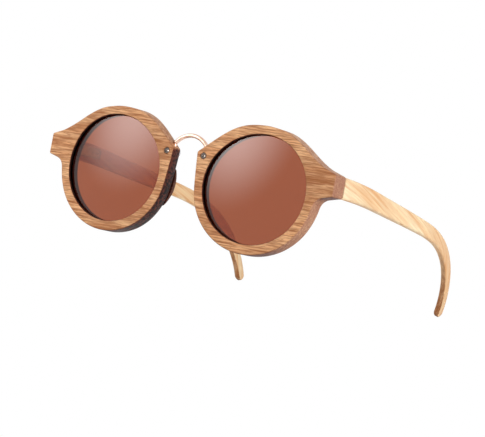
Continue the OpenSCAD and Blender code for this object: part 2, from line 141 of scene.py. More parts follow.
def direction(azimuth, elevation):
    """A direction from the front, round from its middle and up from its level."""
    flat = math.cos(elevation)
    return Vector((math.sin(azimuth) * flat, -math.cos(azimuth) * flat, math.sin(elevation)))


back = direction(view_azimuth, view_elevation)
level = Vector((math.cos(view_azimuth), math.sin(view_azimuth), 0))
right = Matrix.Rotation(view_roll, 3, back) @ level
up = back.cross(right)
focal_pixels = view_lens / SENSOR_W * PICTURE_W
pixels_right = PICTURE_W / 2 - bridge_middle_pixel[0]
pixels_down = PICTURE_H / 2 - bridge_middle_pixel[1]
back_aimed = (back * focal_pixels - right * pixels_right + up * pixels_down).normalized()
right_aimed = (right - back_aimed * right.dot(back_aimed)).normalized()
up_aimed = back_aimed.cross(right_aimed)

camera_data = bpy.data.cameras.new("camera")
camera_data.lens = view_lens
camera_data.sensor_width = SENSOR_W
camera_data.clip_start, camera_data.clip_end = 0.05, 20
camera = bpy.data.objects.new("camera", camera_data)
scene.collection.objects.link(camera)
camera.rotation_mode = "QUATERNION"
camera_turn = Matrix((right_aimed, up_aimed, back_aimed)).transposed()
camera.rotation_quaternion = (lean_turn @ camera_turn).to_quaternion()
camera.location = stood(back * view_distance)
scene.camera = camera
print("camera at", [round(x, 3) for x in camera.location])

# %% [markdown]
# ## A wood that several pieces share
# Wood is a bundle of fibres, so its colour changes slowly along the grain and fast across it. One
# group of nodes makes that from stretched noise: broad bands of early and late wood, fine dark
# streaks, and short open pores. Each material places the group with its own colours, and a
# Mapping node turns the grain to the way in which that piece was sawn.

# %% Helpers for nodes
noise_roughness = 0.55


def feed(tree, node, inputs):
    """Fills a node's inputs by name or number: a socket is linked, a plain value is set."""
    for name, value in inputs.items():
        if isinstance(value, bpy.types.NodeSocket):
            tree.links.new(value, node.inputs[name])
        else:
            node.inputs[name].default_value = value


def add_node(tree, kind, inputs=None, **settings):
    """A new node. Its settings come first, because they can change which inputs it has."""
    node = tree.nodes.new(kind)
    for name, value in settings.items():
        setattr(node, name, value)
    feed(tree, node, inputs or {})
    return node


def new_tree(kind, name, inputs, outputs):
    """An empty group of nodes, the sockets that it is given and the node that takes its results."""
    tree = bpy.data.node_groups.new(name, kind)
    for way, sockets in (("INPUT", inputs), ("OUTPUT", outputs)):
        for label, socket_kind in sockets.items():
            tree.interface.new_socket(label, in_out=way, socket_type="NodeSocket" + socket_kind)
    return tree, tree.nodes.new("NodeGroupInput").outputs, tree.nodes.new("NodeGroupOutput")


def math_node(tree, operation, *values):
    """One step of arithmetic on sockets and plain values."""
    node = add_node(tree, "ShaderNodeMath", dict(enumerate(values)), operation=operation)
    return node.outputs["Value"]


def ramp(tree, value, low, high, first=0.0, last=1.0, kind="SMOOTHSTEP"):
    """A value that goes from first at low to last at high."""
    inputs = {"Value": value, "From Min": low, "From Max": high, "To Min": first, "To Max": last}
    return add_node(tree, "ShaderNodeMapRange", inputs, interpolation_type=kind).outputs["Result"]


def mix_colour(tree, factor, first, second):
    """One colour laid over another. Of the node's many sockets only those for colours are enabled."""
    node = add_node(tree, "ShaderNodeMix", data_type="RGBA")
    number = {socket.name: i for i, socket in enumerate(node.inputs) if socket.enabled}
    feed(tree, node, {number["Factor"]: factor, number["A"]: first, number["B"]: second})
    return next(socket for socket in node.outputs if socket.enabled)


def stretched_noise(tree, vector, across_mm, along_mm, detail=3.0):
    """Noise whose features are across_mm wide and along_mm long, the long way on X."""
    along, across = 1 / (along_mm * MM), 1 / (across_mm * MM)
    size = add_node(tree, "ShaderNodeVectorMath", {0: vector, 1: (along, across, across)},
                    operation="MULTIPLY")
    noise = add_node(tree, "ShaderNodeTexNoise", {
        "Vector": size.outputs["Vector"], "Scale": 1.0, "Detail": detail, "Roughness": noise_roughness})
    return noise.outputs["Fac"]


# %% Shader group for wood grain
# Width and length of the features in millimetres, detail of the noise, and the two values of the
# noise between which the layer comes in
grain_layers = {
    "broad": (16, 34, 2.0, 0.38, 0.62),
    "bands": (2.6, 46, 4.0, 0.36, 0.62),
    "fine": (0.55, 12, 4.0, 0.36, 0.64),
    "streaks": (1.0, 24, 4.0, 0.50, 0.66),
    "pores": (0.24, 2.6, 2.0, 0.58, 0.72)}
broad_share = 0.4


def wood_grain_group():
    tree, given, made = new_tree(
        "ShaderNodeTree", "wood_grain",
        {"Vector": "Vector", "Light": "Color", "Middle": "Color", "Dark": "Color",
         "Fine": "Float", "Streaks": "Float", "Pores": "Float"},
        {"Color": "Color", "Height": "Float", "Lines": "Float"})

    def layer(name, most=1.0):
        across_mm, along_mm, detail, low, high = grain_layers[name]
        noise = stretched_noise(tree, given["Vector"], across_mm, along_mm, detail)
        return ramp(tree, noise, low, high, 0.0, most)

    broad, bands = layer("broad", broad_share), layer("bands")
    fine, streaks, pores = (math_node(tree, "MULTIPLY", layer(label.lower()), given[label])
                            for label in ("Fine", "Streaks", "Pores"))
    tone = mix_colour(tree, bands, given["Middle"], given["Light"])
    for share in (broad, fine, streaks, pores):
        tone = mix_colour(tree, share, tone, given["Dark"])
    lines = math_node(tree, "MAXIMUM", streaks, pores)
    height = math_node(tree, "SUBTRACT", bands, lines)
    feed(tree, made, {"Color": tone, "Height": height, "Lines": lines})
    return tree


wood_grain = wood_grain_group()
print("wood grain group has", len(wood_grain.nodes), "nodes")

# %% [markdown]
# ## The two woods
# The front is a striped tan wood sawn with its grain from temple to temple. The temples are paler,
# and their bands follow the bend at a slant. Walls are browned and, where the value is high, turned
# black: a cutting beam scorches the walls that it leaves, and on the rims and pads painted shade is
# laid on the same way where shade falls. The end grain that a maker sands is greyer. The meshes carry
# both as attributes, one for the browning with its painted shade and one for sanding, so one
# material serves a whole piece.

# %% Wood materials


def srgb(red, green, blue):
    """A colour given as it looks on screen, 0 to 255, as the linear colour of a socket."""
    shares = [value / 255 for value in (red, green, blue)]
    return *(s / 12.92 if s <= 0.04045 else ((s + 0.055) / 1.055) ** 2.4 for s in shares), 1.0


def new_material(name):
    material = bpy.data.materials.new(name)
    material.use_nodes = True
    return material, material.node_tree, material.node_tree.nodes["Principled BSDF"]


def object_coords(tree):
    return tree.nodes.new("ShaderNodeTexCoord").outputs["Object"]


def carried(tree, name, output="Fac"):
    """What the mesh carries as an attribute."""
    return add_node(tree, "ShaderNodeAttribute", attribute_name=name).outputs[output]


def bump(tree, height, strength, distance):
    inputs = {"Height": height, "Strength": strength, "Distance": distance}
    return add_node(tree, "ShaderNodeBump", inputs).outputs["Normal"]


# The brown and black that browning leads to also serve as painted shade on the rims and pads.
charred_and_shaded, end_grain = srgb(18, 5, 4), srgb(164, 120, 106)
char_and_shade_from = 0.7
blotch_across, blotch_along, blotch_low, blotch_high = 1.0, 2.4, 0.35, 0.65
least_blotch, most_blotch = 0.8, 1.2
smooth_wood, rough_lines, wood_shine = 0.42, 0.62, 0.15
grain_relief, grain_depth = 0.35, 0.06 * MM


def wood_material(name, scorched_and_shaded, follows, slope, scale, board, looks):
    """A wood whose grain follows an attribute or else the object, at its own place on the board."""
    material, tree, shader = new_material(name)
    where = carried(tree, follows, "Vector") if follows else object_coords(tree)
    sawn = add_node(tree, "ShaderNodeMapping", {
        "Vector": where, "Location": board, "Rotation": (0, slope, 0), "Scale": (scale,) * 3})
    vector = sawn.outputs["Vector"]
    grain = add_node(tree, "ShaderNodeGroup", {"Vector": vector, **looks}, node_tree=wood_grain).outputs
    noise = stretched_noise(tree, vector, blotch_across, blotch_along)
    blotches = ramp(tree, noise, blotch_low, blotch_high, least_blotch, most_blotch)
    # Char and painted shade, read from the mesh, turn the wood brown and then black.
    browning_and_shade = math_node(tree, "MULTIPLY", carried(tree, "burn"), blotches)
    tone = mix_colour(tree, carried(tree, "sanded"), grain["Color"], end_grain)
    tone = mix_colour(tree, ramp(tree, browning_and_shade, 0.0, char_and_shade_from), tone, scorched_and_shaded)
    tone = mix_colour(tree, ramp(tree, browning_and_shade, char_and_shade_from, 1.0), tone, charred_and_shaded)
    feed(tree, shader, {
        "Base Color": tone,
        "Roughness": ramp(tree, grain["Lines"], 0.0, 1.0, smooth_wood, rough_lines, "LINEAR"),
        "Normal": bump(tree, grain["Height"], grain_relief, grain_depth),
        "Specular IOR Level": wood_shine})
    return material


# The front's brown is also the colour of the painted shade on its nasal walls and undersides.
front_wood = wood_material(
    "striped_front_wood", srgb(94, 44, 32), follows=None, slope=0.0, scale=1.0,
    board=(-0.303, -0.134, 0.177), looks={
        "Light": srgb(247, 197, 147), "Middle": srgb(227, 168, 118), "Dark": srgb(146, 86, 48),
        "Fine": 0.72, "Streaks": 0.78, "Pores": 0.7})
temple_wood = wood_material(
    "pale_temple_wood", srgb(150, 98, 60), follows="bent_grain", slope=math.radians(-12), scale=0.6,
    board=(0.075, -0.085, -0.264), looks={
        "Light": srgb(255, 237, 198), "Middle": srgb(252, 216, 168), "Dark": srgb(222, 158, 102),
        "Fine": 0.36, "Streaks": 0.65, "Pores": 0.25})
print("woods:", front_wood.name, temple_wood.name)

# %% [markdown]
# ## Metals and lens
# The plating on the bridge is warm and polished, its screws are dark nickel, and the hinge steel
# is satin. A shared group puts handling wear on every metal, so that none is a single flat grey:
# smudges change its colour and roughness, and fine stretched noise brushes it. The lens is tinted
# glass: all its light goes through, and the tint is the base colour.

# %% Metals and lens
smudge_across, smudge_along, smudge_detail, smudge_low, smudge_high = 1.6, 2.4, 4.0, 0.38, 0.68
brush_across, brush_along, brush_detail, brush_depth = 0.05, 1.8, 2.0, 0.02 * MM
lens_tint, lens_index = (0.318, 0.070, 0.020, 1.0), 1.5
smear_across, smear_along, smear_low, smear_high, most_smear = 9.0, 14.0, 0.45, 0.80, 0.03


def handled_metal_group():
    tree, given, made = new_tree(
        "ShaderNodeTree", "handled_metal",
        {"Vector": "Vector", "Bright": "Color", "Dull": "Color", "Smooth": "Float", "Rough": "Float"},
        {"Color": "Color", "Roughness": "Float", "Height": "Float"})
    noise = stretched_noise(tree, given["Vector"], smudge_across, smudge_along, smudge_detail)
    smudge = ramp(tree, noise, smudge_low, smudge_high)
    feed(tree, made, {
        "Color": mix_colour(tree, smudge, given["Bright"], given["Dull"]),
        "Roughness": ramp(tree, smudge, 0.0, 1.0, given["Smooth"], given["Rough"], "LINEAR"),
        "Height": stretched_noise(tree, given["Vector"], brush_across, brush_along, brush_detail)})
    return tree


handled_metal = handled_metal_group()


def metal_material(name, bright, dull, smooth, rough, brushing):
    material, tree, shader = new_material(name)
    wear = add_node(tree, "ShaderNodeGroup", {
        "Vector": object_coords(tree), "Bright": srgb(*bright), "Dull": srgb(*dull),
        "Smooth": smooth, "Rough": rough}, node_tree=handled_metal).outputs
    feed(tree, shader, {
        "Base Color": wear["Color"], "Roughness": wear["Roughness"],
        "Normal": bump(tree, wear["Height"], brushing, brush_depth), "Metallic": 1.0})
    return material


# Bright and dull colour, least and most roughness, and how strongly the metal is brushed
rose_plating = metal_material("rose_plating", (236, 204, 186), (218, 174, 150), 0.14, 0.24, 0.05)
satin_steel = metal_material("satin_steel", (205, 205, 208), (184, 184, 189), 0.28, 0.38, 0.06)
dark_nickel = metal_material("dark_nickel", (128, 118, 112), (104, 96, 90), 0.06, 0.12, 0.05)
bright_steel = metal_material("bright_steel", (225, 225, 228), (196, 196, 200), 0.10, 0.20, 0.08)
spring_steel = metal_material("spring_steel", (188, 188, 192), (150, 150, 156), 0.22, 0.36, 0.15)
turned_brass = metal_material("turned_brass", (224, 190, 118), (196, 156, 88), 0.20, 0.34, 0.20)


def lens_material():
    material, tree, shader = new_material("brown_lens")
    smear = stretched_noise(tree, object_coords(tree), smear_across, smear_along)
    feed(tree, shader, {
        "Base Color": lens_tint, "Transmission Weight": 1.0, "IOR": lens_index,
        "Roughness": ramp(tree, smear, smear_low, smear_high, 0.0, most_smear, "LINEAR")})
    return material


brown_lens = lens_material()
print("metals and lens are ready")

# %% [markdown]
# ## A skin through loops
# A rim, a lens and a nose pad are all made the same way: draw closed loops of points with equal
# counts, then lay faces between each loop and the next. It is what a loft does, and it keeps the
# mesh in tidy quads. Each loop may carry values, such as how burnt the wood is there.

# %% Helpers for pieces
# A bend sharper than its piece's angle, in degrees, shows as an edge
crisp_edge, usual_edge, soft_edge = 35, 40, 50


def new_piece(name, mesh_maker, material=None):
    """An object at the origin whose mesh the maker fills, with its faces pointing outwards."""
    builder = bmesh.new()
    mesh_maker(builder)
    bmesh.ops.recalc_face_normals(builder, faces=builder.faces)
    mesh = bpy.data.meshes.new(name)
    builder.to_mesh(mesh)
    builder.free()
    piece = bpy.data.objects.new(name, mesh)
    scene.collection.objects.link(piece)
    if material:
        mesh.materials.append(material)
    return piece


def stand_in(piece, node, body, angle):
    """Shades a piece smoothly where it bends less than the angle, and puts it in its solid's place."""
    for face in piece.data.polygons:
        face.use_smooth = True
    piece.data.set_sharp_from_angle(angle=math.radians(angle))
    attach(piece, body)
    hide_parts(node)
    print(piece.name, len(piece.data.polygons), "faces")


def skin(builder, loops, closed=False, values=None):
    """Faces between loops of equal length. An open skin is closed by a fan at each end."""
    layers = {key: builder.verts.layers.float.new(key) for key in (values or {})}
    rings = [[builder.verts.new(point) for point in loop] for loop in loops]
    for key, layer in layers.items():
        for ring, row in zip(rings, values[key]):
            for vert, value in zip(ring, row):
                vert[layer] = value
    count = len(loops[0])
    for first, second in zip(rings, rings[1:] + rings[:1] if closed else rings[1:]):
        for i in range(count):
            k = (i + 1) % count
            builder.faces.new((first[i], first[k], second[k], second[i]))
    for ring in () if closed else (rings[0], rings[-1]):
        pole = builder.verts.new(sum((vert.co for vert in ring), Vector()) / count)
        for layer in layers.values():
            pole[layer] = ring[0][layer]
        for i in range(count):
            builder.faces.new((ring[i], ring[(i + 1) % count], pole))


# %% [markdown]
# ## Rims
# Each rim is cut from flat board. Its outline is a ring below, a straight brow above, a crisp
# corner at the nose that takes the bridge, and an endpiece that takes the hinge. Cutting the
# corners of a coarse polygon again and again turns it into a smooth curve, which is how the
# outline is drawn here.

# %% Rim outline
opening_w, opening_h, opening_lean = 47.4, 44.2, 1.2
half_w, half_h = opening_w / 2, opening_h / 2
front_t = 6.6
rim_w, brow_w = 4.1, 3.6
side_x, foot_z, brow_z = half_w + rim_w, half_h + rim_w, half_h + brow_w
nasal_flare, nasal_rise, nasal_side_share = 1.2, 1.4, 0.2
nasal_brow_drop, temple_brow_drop = 4.4, 2.1
endpiece_reach, endpiece_h, endpiece_z = 13.1, 8.6, 6.2
shoulder_rise, armpit_drop = 2.9, 1.9
corner_r = 1.4
screw_z, screw_inset = 10.1, 2.6
screw_x = -side_x - nasal_flare / 2 + screw_inset
end_x = half_w + endpiece_reach
ring_from, ring_to, ring_step = 195, 345, 15
outline_passes = 4

# Each point of the brow is a share of the opening's half width and a drop below the brow's top
brow_points = ((0.59, temple_brow_drop), (0.17, 0), (-0.13, 0), (-0.42, nasal_brow_drop / 4),
               (-0.71, nasal_brow_drop))


def crisp(before, corner, after):
    """Three points that keep a corner of the outline crisp."""
    return [corner + corner_r * (before - corner).normalized(), corner,
            corner + corner_r * (after - corner).normalized()]


def cut_corners(points, passes):
    for _ in range(passes):
        points = [a.lerp(b, share) for a, b in zip(points, points[1:] + points[:1])
                  for share in (0.25, 0.75)]
    return points


def rim_control():
    ring = [Vector((side_x * math.cos(math.radians(t)), foot_z * math.sin(math.radians(t))))
            / math.cos(math.radians(ring_step / 2)) for t in range(ring_from, ring_to + 1, ring_step)]
    end_low = Vector((end_x, endpiece_z - endpiece_h / 2))
    end_high = Vector((end_x, endpiece_z + endpiece_h / 2))
    armpit = Vector((side_x + nasal_flare / 2, end_low.y - armpit_drop))
    shoulder = Vector((side_x, end_high.y + shoulder_rise))
    brow = [Vector((share * half_w, brow_z - drop)) for share, drop in brow_points]
    nasal_corner = Vector((-side_x - nasal_flare, screw_z + nasal_rise))
    nasal_side = Vector((-side_x - nasal_flare / 2, nasal_side_share * half_h))
    return (ring + [armpit] + crisp(armpit, end_low, end_high) + crisp(end_low, end_high, shoulder)
            + [shoulder] + brow + crisp(brow[-1], nasal_corner, nasal_side) + [nasal_side])


rim_outline = cut_corners(rim_control(), outline_passes)
print("rim outline has", len(rim_outline), "points")

# %% [markdown]
# The rim's section goes once round: the outer wall, the back, the opening with its groove for the
# lens, and the front, with edges that are rounded by sanding. The opening is an ellipse whose top
# leans towards the temple. The end face slants, and the nasal wall is bevelled behind, so every
# loop is moved a little by its depth.

# %% Rim loops
edge_r, edge_steps = 0.5, 5
groove_depth, groove_low, groove_high = 0.9, 1.2, 3.2
endpiece_slant = 1.0
nose_bevel, nose_bevel_len, nose_bevel_power = 1.2, 2.0, 3


def outward(loop):
    """The unit normals of a loop that runs anticlockwise."""
    count = len(loop)
    runs = [(loop[(i + 1) % count] - loop[i - 1]).normalized() for i in range(count)]
    return [Vector((run.y, -run.x)) for run in runs]


outline_normals = outward(rim_outline)


def wall_at(inset, depth):
    """The outer wall at a depth: its endpiece slants and its nasal side is bevelled behind."""
    short = endpiece_slant * (1 - depth / front_t)
    bevel = nose_bevel * max(0.0, 1 - (front_t - depth) / nose_bevel_len)
    loop = []
    for point, normal in zip(rim_outline, outline_normals):
        x, z = point - inset * normal
        out, nose = max(0.0, (x - side_x) / (end_x - side_x)), max(0.0, -x / side_x)
        loop.append(Vector((x - short * out + bevel * nose ** nose_bevel_power, z)))
    return loop


def leaned(point):
    """The opening's top leans towards the temple."""
    return Vector((point.x + opening_lean * (max(0.0, point.y) / half_h) ** 2, point.y))


def opening_at(grow):
    """The opening grown by a margin, on the rays through the outline's points."""
    loop = []
    for point in rim_outline:
        ratio = Vector((point.x / (half_w + grow), point.y / (half_h + grow))).length
        loop.append(leaned(point / ratio))
    return loop


def rim_sections():
    """The rim's cross-section as (where, margin, depth), once round."""
    angles = [math.pi / 2 * k / edge_steps for k in range(edge_steps + 1)]
    from_face = [(edge_r * (1 - math.sin(a)), edge_r * (1 - math.cos(a))) for a in angles]
    from_wall = from_face[::-1]
    outer = from_face + [(0, front_t - nose_bevel_len)] + [(i, front_t - d) for i, d in from_wall]
    groove = [(0, groove_high), (groove_depth, groove_high), (groove_depth, groove_low), (0, groove_low)]
    opening = [(i, front_t - d) for i, d in from_face] + groove + from_wall
    return [("outer", *row) for row in outer] + [("opening", *row) for row in opening]


print("rim section has", len(rim_sections()), "points")

# %% [markdown]
# The browning given to the loops is partly the mark of a cutting beam and partly painted shade.
# It is strongest in the groove and less behind the lens. Outside, a light char lies on every wall,
# painted shade darkens the nasal side and the underside, and the end grain shows most on the end
# face. Values fade from each loop to the next.

# %% Browning, painted shade and sanding of the rims
# In the groove and behind the lens the darkness is char and painted shade together.
groove_burn_and_shade, behind_lens_burn_and_shade = 1.4, 0.6
# Outside: a light char everywhere, painted shade on the nasal side and underneath, and a cap.
least_burn, nose_painted_shade, under_painted_shade, most_outer_darkening = 0.08, 0.68, 0.7, 0.9
nose_front_share, brow_slope, darkening_reach = 0.85, 0.7, 0.6
sanded_wall, sanded_end = 0.1, 0.5


def between(first, last, share):
    return first + (last - first) * share


def burn_and_shade_of(kind, margin, depth, normal):
    """How dark a wall is, from char and painted shade: the groove most, the faces not at all."""
    wall = 1 - min(1, margin / (darkening_reach * edge_r))
    if kind == "opening":
        if margin > edge_r or depth == groove_low:
            return groove_burn_and_shade
        return wall * (behind_lens_burn_and_shade if depth > groove_low else 1.0)
    # Painted shade: dark on the nasal side, less at the front and on the brow, and dark underneath.
    off_brow = 1 - min(1.0, max(0.0, normal.y) / brow_slope)
    nose_side = off_brow * max(0.0, -normal.x) * between(nose_front_share, 1, depth / front_t)
    under = under_painted_shade * max(0.0, -normal.y) * max(0.0, 1 - normal.x)
    return wall * min(most_outer_darkening, least_burn + nose_painted_shade * nose_side + under)


def sanded_of(kind, margin, normal):
    """How far the sanded end grain shows on the outer walls, most at the temple."""
    wall = 1 - min(1, margin / edge_r)
    return wall * (sanded_wall + sanded_end * max(0.0, normal.x)) if kind == "outer" else 0.0


def rim_loops(side):
    loops, burn, sanded = [], [], []
    for kind, margin, depth in rim_sections():
        flat = wall_at(margin, depth) if kind == "outer" else opening_at(margin)
        loops.append([place(p.x, depth, p.y, side) for p in flat])
        burn.append([burn_and_shade_of(kind, margin, depth, n) for n in outline_normals])
        sanded.append([sanded_of(kind, margin, n) for n in outline_normals])
    return loops, {"burn": burn, "sanded": sanded}


print("burn at the groove", groove_burn_and_shade, "and at most", most_outer_darkening, "outside")

# %% [markdown]
# The hinge leaf lies flush in a pocket behind the endpiece, the bridge's tab lies in a slot in the
# nasal corner, and a ring is sunk round the head of the screw that holds it, burnt black and darkened
# with painted shade in its hollow. Pocket, slot and ring are taken out of the finished rim, so a
# Boolean takes them out here too and leaves real walls.

# %% Helpers that cut


def block(builder, side, low, high, turn=0.0, pivot=(0, 0)):
    """A box of one side's frame, turned in the u-v plane about a pivot."""
    c, s = math.cos(turn), math.sin(turn)
    corners = [builder.verts.new(place(pivot[0] + c * u - s * v, d, pivot[1] + s * u + c * v, side))
               for u in (low[0], high[0]) for d in (low[1], high[1]) for v in (low[2], high[2])]
    for quad in ((0, 1, 3, 2), (4, 6, 7, 5), (0, 4, 5, 1), (2, 3, 7, 6), (0, 2, 6, 4), (1, 5, 7, 3)):
        builder.faces.new([corners[i] for i in quad])


def bake(piece):
    """Turns the result of the piece's modifiers into its plain mesh."""
    depsgraph = bpy.context.evaluated_depsgraph_get()
    mesh = bpy.data.meshes.new_from_object(
        piece.evaluated_get(depsgraph), preserve_all_data_layers=True, depsgraph=depsgraph)
    piece.modifiers.clear()
    piece.data = mesh
    mesh.name = piece.name


def cut_away(piece, cutter):
    """Takes the cutter's volume out of the piece and deletes the cutter."""
    modifier = piece.modifiers.new("cut", "BOOLEAN")
    modifier.operation = "DIFFERENCE"
    modifier.solver = "EXACT"
    modifier.object = cutter
    bake(piece)
    bpy.data.objects.remove(cutter)


# %% Make the rims
tab_y, tab_t, tab_w, tab_play = 3.4, 1.2, 2.4, 0.15
bridge_landing, bridge_lift = 2.0, 2.4
screw_middle = Vector((screw_x, screw_z))
tab_top = Vector((-side_x - nasal_flare + bridge_landing, screw_z + nasal_rise + bridge_lift))
leaf_t, leaf_len, leaf_h, leaf_play = 0.8, 7.2, 6.8, 0.03
knuckle_r = 1.45
leaf_u = pin_place.x + knuckle_r - leaf_len
# The ring's darkness, strongest at its bottom, is char and painted shade in the hollow.
sink_in_r, sink_out_r, sink_depth, sink_burn_and_shade = 1.22, 1.5, 0.7, 6.0
sink_steps, sink_clear, pocket_clear = 48, 0.2, 1.0


def round_angles(count):
    return [2 * math.pi * i / count for i in range(count)]


def countersink(builder, side):
    """The ring round a bridge screw's head, burnt and darkened with painted shade, most at its bottom:
    its outer wall slopes, its inner one doesn't.
    """
    mouth_r = sink_out_r + (sink_out_r - sink_in_r) * sink_clear / sink_depth
    section = ((sink_in_r, -sink_clear, 0.0), (mouth_r, -sink_clear, 0.0),
               (sink_in_r, sink_depth, sink_burn_and_shade))
    loops = [[place(screw_x + radius * math.cos(a), depth, screw_z + radius * math.sin(a), side)
              for a in round_angles(sink_steps)] for radius, depth, _ in section]
    skin(builder, loops, True, {"burn": [[brown] * sink_steps for _, _, brown in section]})


def rim_cutter(builder, side):
    countersink(builder, side)
    half_leaf = leaf_h / 2 + leaf_play
    block(builder, side, (leaf_u - leaf_play, front_t - leaf_t - leaf_play, endpiece_z - half_leaf),
          (leaf_u + leaf_len + leaf_play, front_t + pocket_clear, endpiece_z + half_leaf))
    run = tab_top - screw_middle
    half_slot, half_deep = tab_w / 2 + tab_play, tab_t / 2 + tab_play
    block(builder, side, (0, tab_y - half_deep, -half_slot), (run.length, tab_y + half_deep, half_slot),
          math.atan2(run.y, run.x), screw_middle)


def make_rim(name, side):
    loops, values = rim_loops(side)
    rim = new_piece(name + "_wood", lambda b: skin(b, loops, True, values), front_wood)
    cut_away(rim, new_piece(name + "_cutter", lambda b: rim_cutter(b, side)))
    stand_in(rim, name, "front", crisp_edge)


for side_name, side in SIDES.items():
    make_rim(side_name + "_rim", side)

# %% [markdown]
# ## Lenses
# A plain sun lens is a shell between two spheres with one centre, cut to the opening's outline
# plus the part that hides in the groove. Rings of points that follow the ellipse give a surface
# smooth enough to mirror a soft light without ripples.

# %% Make the lenses
lens_radius, lens_t, lens_edge = 150.0, 1.4, 0.7
groove_y = (groove_low + groove_high) / 2
lens_steps, lens_rings = 144, 24
mid_r = (half_w + half_h) / 2
sag = lens_radius - math.sqrt(lens_radius ** 2 - mid_r ** 2)
lens_centre = groove_y - lens_t / 2 - sag + lens_radius


def lens_loop(side, share, radius):
    loop = []
    for a in round_angles(lens_steps):
        edge = Vector(((half_w + lens_edge) * math.cos(a), (half_h + lens_edge) * math.sin(a)))
        u, v = share * leaned(edge)
        loop.append(place(u, lens_centre - math.sqrt(radius ** 2 - u ** 2 - v ** 2), v, side))
    return loop


def make_lens(name, side):
    shares = [(k + 1) / lens_rings for k in range(lens_rings)]
    loops = [lens_loop(side, share, lens_radius) for share in shares]
    loops += [lens_loop(side, share, lens_radius - lens_t) for share in reversed(shares)]
    lens = new_piece(name + "_glass", lambda b: skin(b, loops), brown_lens)
    stand_in(lens, name, "front", crisp_edge)


for side_name, side in SIDES.items():
    make_lens(side_name + "_lens", side)

# %% [markdown]
# ## Nose pads
# A small wooden pad is glued behind each rim where it meets the nose. It follows the ring, it
# tapers, it leans towards the nose, and it is highest in the middle of its length. The loops are
# the same long bean shape, drawn smaller and further back each time, and the last ones close over
# a rounded crown.

# %% Make the nose pads
pad_h, pad_end_h, pad_foot, pad_r, pad_taper = 2.1, 0.9, 0.4, 1.6, 0.6
pad_from, pad_to = math.radians(174), math.radians(206)
pad_lean, pad_side_lean = 0.5, 0.425
pad_crown, pad_crown_flare = 0.7, 0.15
# The pad's darkness is char and painted shade, a little more at its foot against the rim.
pad_burn_and_shade, pad_foot_burn_and_shade, pad_sanded = 0.55, 0.7, 0.3
pad_rows, bean_steps, cap_steps = 6, 14, 10


def bean(radius, shift):
    """A bean-shaped loop round the stretch of the ring that carries the pad."""
    mid_x, mid_z = half_w + rim_w / 2, half_h + rim_w / 2
    span = pad_to - pad_from

    def offset(angle, turn):
        spine = Vector((mid_x * math.cos(angle) - shift, mid_z * math.sin(angle)))
        return spine + radius * Vector((math.cos(angle + turn), math.sin(angle + turn)))

    outer = [offset(pad_from + span * k / bean_steps, 0) for k in range(bean_steps)]
    low_cap = [offset(pad_to, math.pi * k / cap_steps) for k in range(cap_steps)]
    inner = [offset(pad_to - span * k / bean_steps, math.pi) for k in range(bean_steps)]
    high_cap = [offset(pad_from, math.pi * (1 + k / cap_steps)) for k in range(cap_steps)]
    return outer + low_cap + inner + high_cap


def pad_profile():
    """Height, radius and lean of each loop from the foot to the crown."""
    shoulder_r, shoulder = pad_taper * pad_r + pad_crown_flare, pad_h - pad_crown
    shares = [(k + 1) / pad_rows for k in range(pad_rows)]
    rows = [(0.0, pad_r, 0.0)]
    for share in [0.0] + shares:
        rows.append((between(pad_foot, shoulder, share), between(pad_r, shoulder_r, share),
                     share * pad_side_lean))
    for share in shares:
        angle = math.pi / 2 * share
        rows.append((shoulder + pad_crown * math.sin(angle),
                     shoulder_r - pad_crown * (1 - math.cos(angle)),
                     between(pad_side_lean, pad_lean, share)))
    return rows


def crown_at(point):
    """The pad's height as a share: whole in the middle of its length, less at its ends."""
    middle, reach = (pad_from + pad_to) / 2, (pad_to - pad_from) / 2
    angle = math.pi + math.atan2(-point.y / half_h, -point.x / half_w)
    off = min(1.0, abs(angle - middle) / reach)
    return 1 - (1 - pad_end_h / pad_h) * off * off


def make_pad(name, side):
    loops, burn, sanded = [], [], []
    for height, radius, shift in pad_profile():
        loop = [place(p.x, front_t + height * crown_at(p), p.y, side) for p in bean(radius, shift)]
        loops.append(loop)
        burn.append([pad_burn_and_shade if height else pad_foot_burn_and_shade] * len(loop))
        sanded.append([pad_sanded] * len(loop))
    values = {"burn": burn, "sanded": sanded}
    pad = new_piece(name + "_wood", lambda b: skin(b, loops, False, values), front_wood)
    stand_in(pad, name, "front", soft_edge)


for side_name, side in SIDES.items():
    make_pad(side_name + "_nose_pad", side)

# %% [markdown]
# ## A bar swept along a path
# Both temples, the bridge and the springs are bars that bend, and most change section on their way.
# One Geometry Nodes tree makes them all. It is given points that carry two directions, two half
# sizes and an edge radius, sweeps a circle along them, and moves each point of the circle to a
# rounded rectangle. With an edge radius as large as the half sizes the bar is a round wire. The tree
# also stores where each point lies in the bent wood, and how brown the bar's edges are.

# %% Helpers for Geometry Nodes


def point_value(tree, name, kind="FLOAT"):
    """What the points carry as an attribute."""
    node = add_node(tree, "GeometryNodeInputNamedAttribute", {"Name": name}, data_type=kind)
    return next(socket for socket in node.outputs if socket.enabled and socket.name == "Attribute")


def point_vector(tree, name):
    return point_value(tree, name, "FLOAT_VECTOR")


def store(tree, geometry, name, value, kind="FLOAT"):
    inputs = {"Geometry": geometry, "Name": name, "Value": value}
    return add_node(tree, "GeometryNodeStoreNamedAttribute", inputs, data_type=kind).outputs["Geometry"]


def vector_node(tree, operation, inputs):
    return add_node(tree, "ShaderNodeVectorMath", inputs, operation=operation).outputs["Vector"]


def rounded_offset(tree, share, half, radius):
    """How far a point lies along one direction of a rounded rectangle."""
    flat = math_node(tree, "SUBTRACT", half, radius)
    corner = math_node(tree, "MULTIPLY", math_node(tree, "SIGN", share), flat)
    return math_node(tree, "ADD", corner, math_node(tree, "MULTIPLY", radius, share))


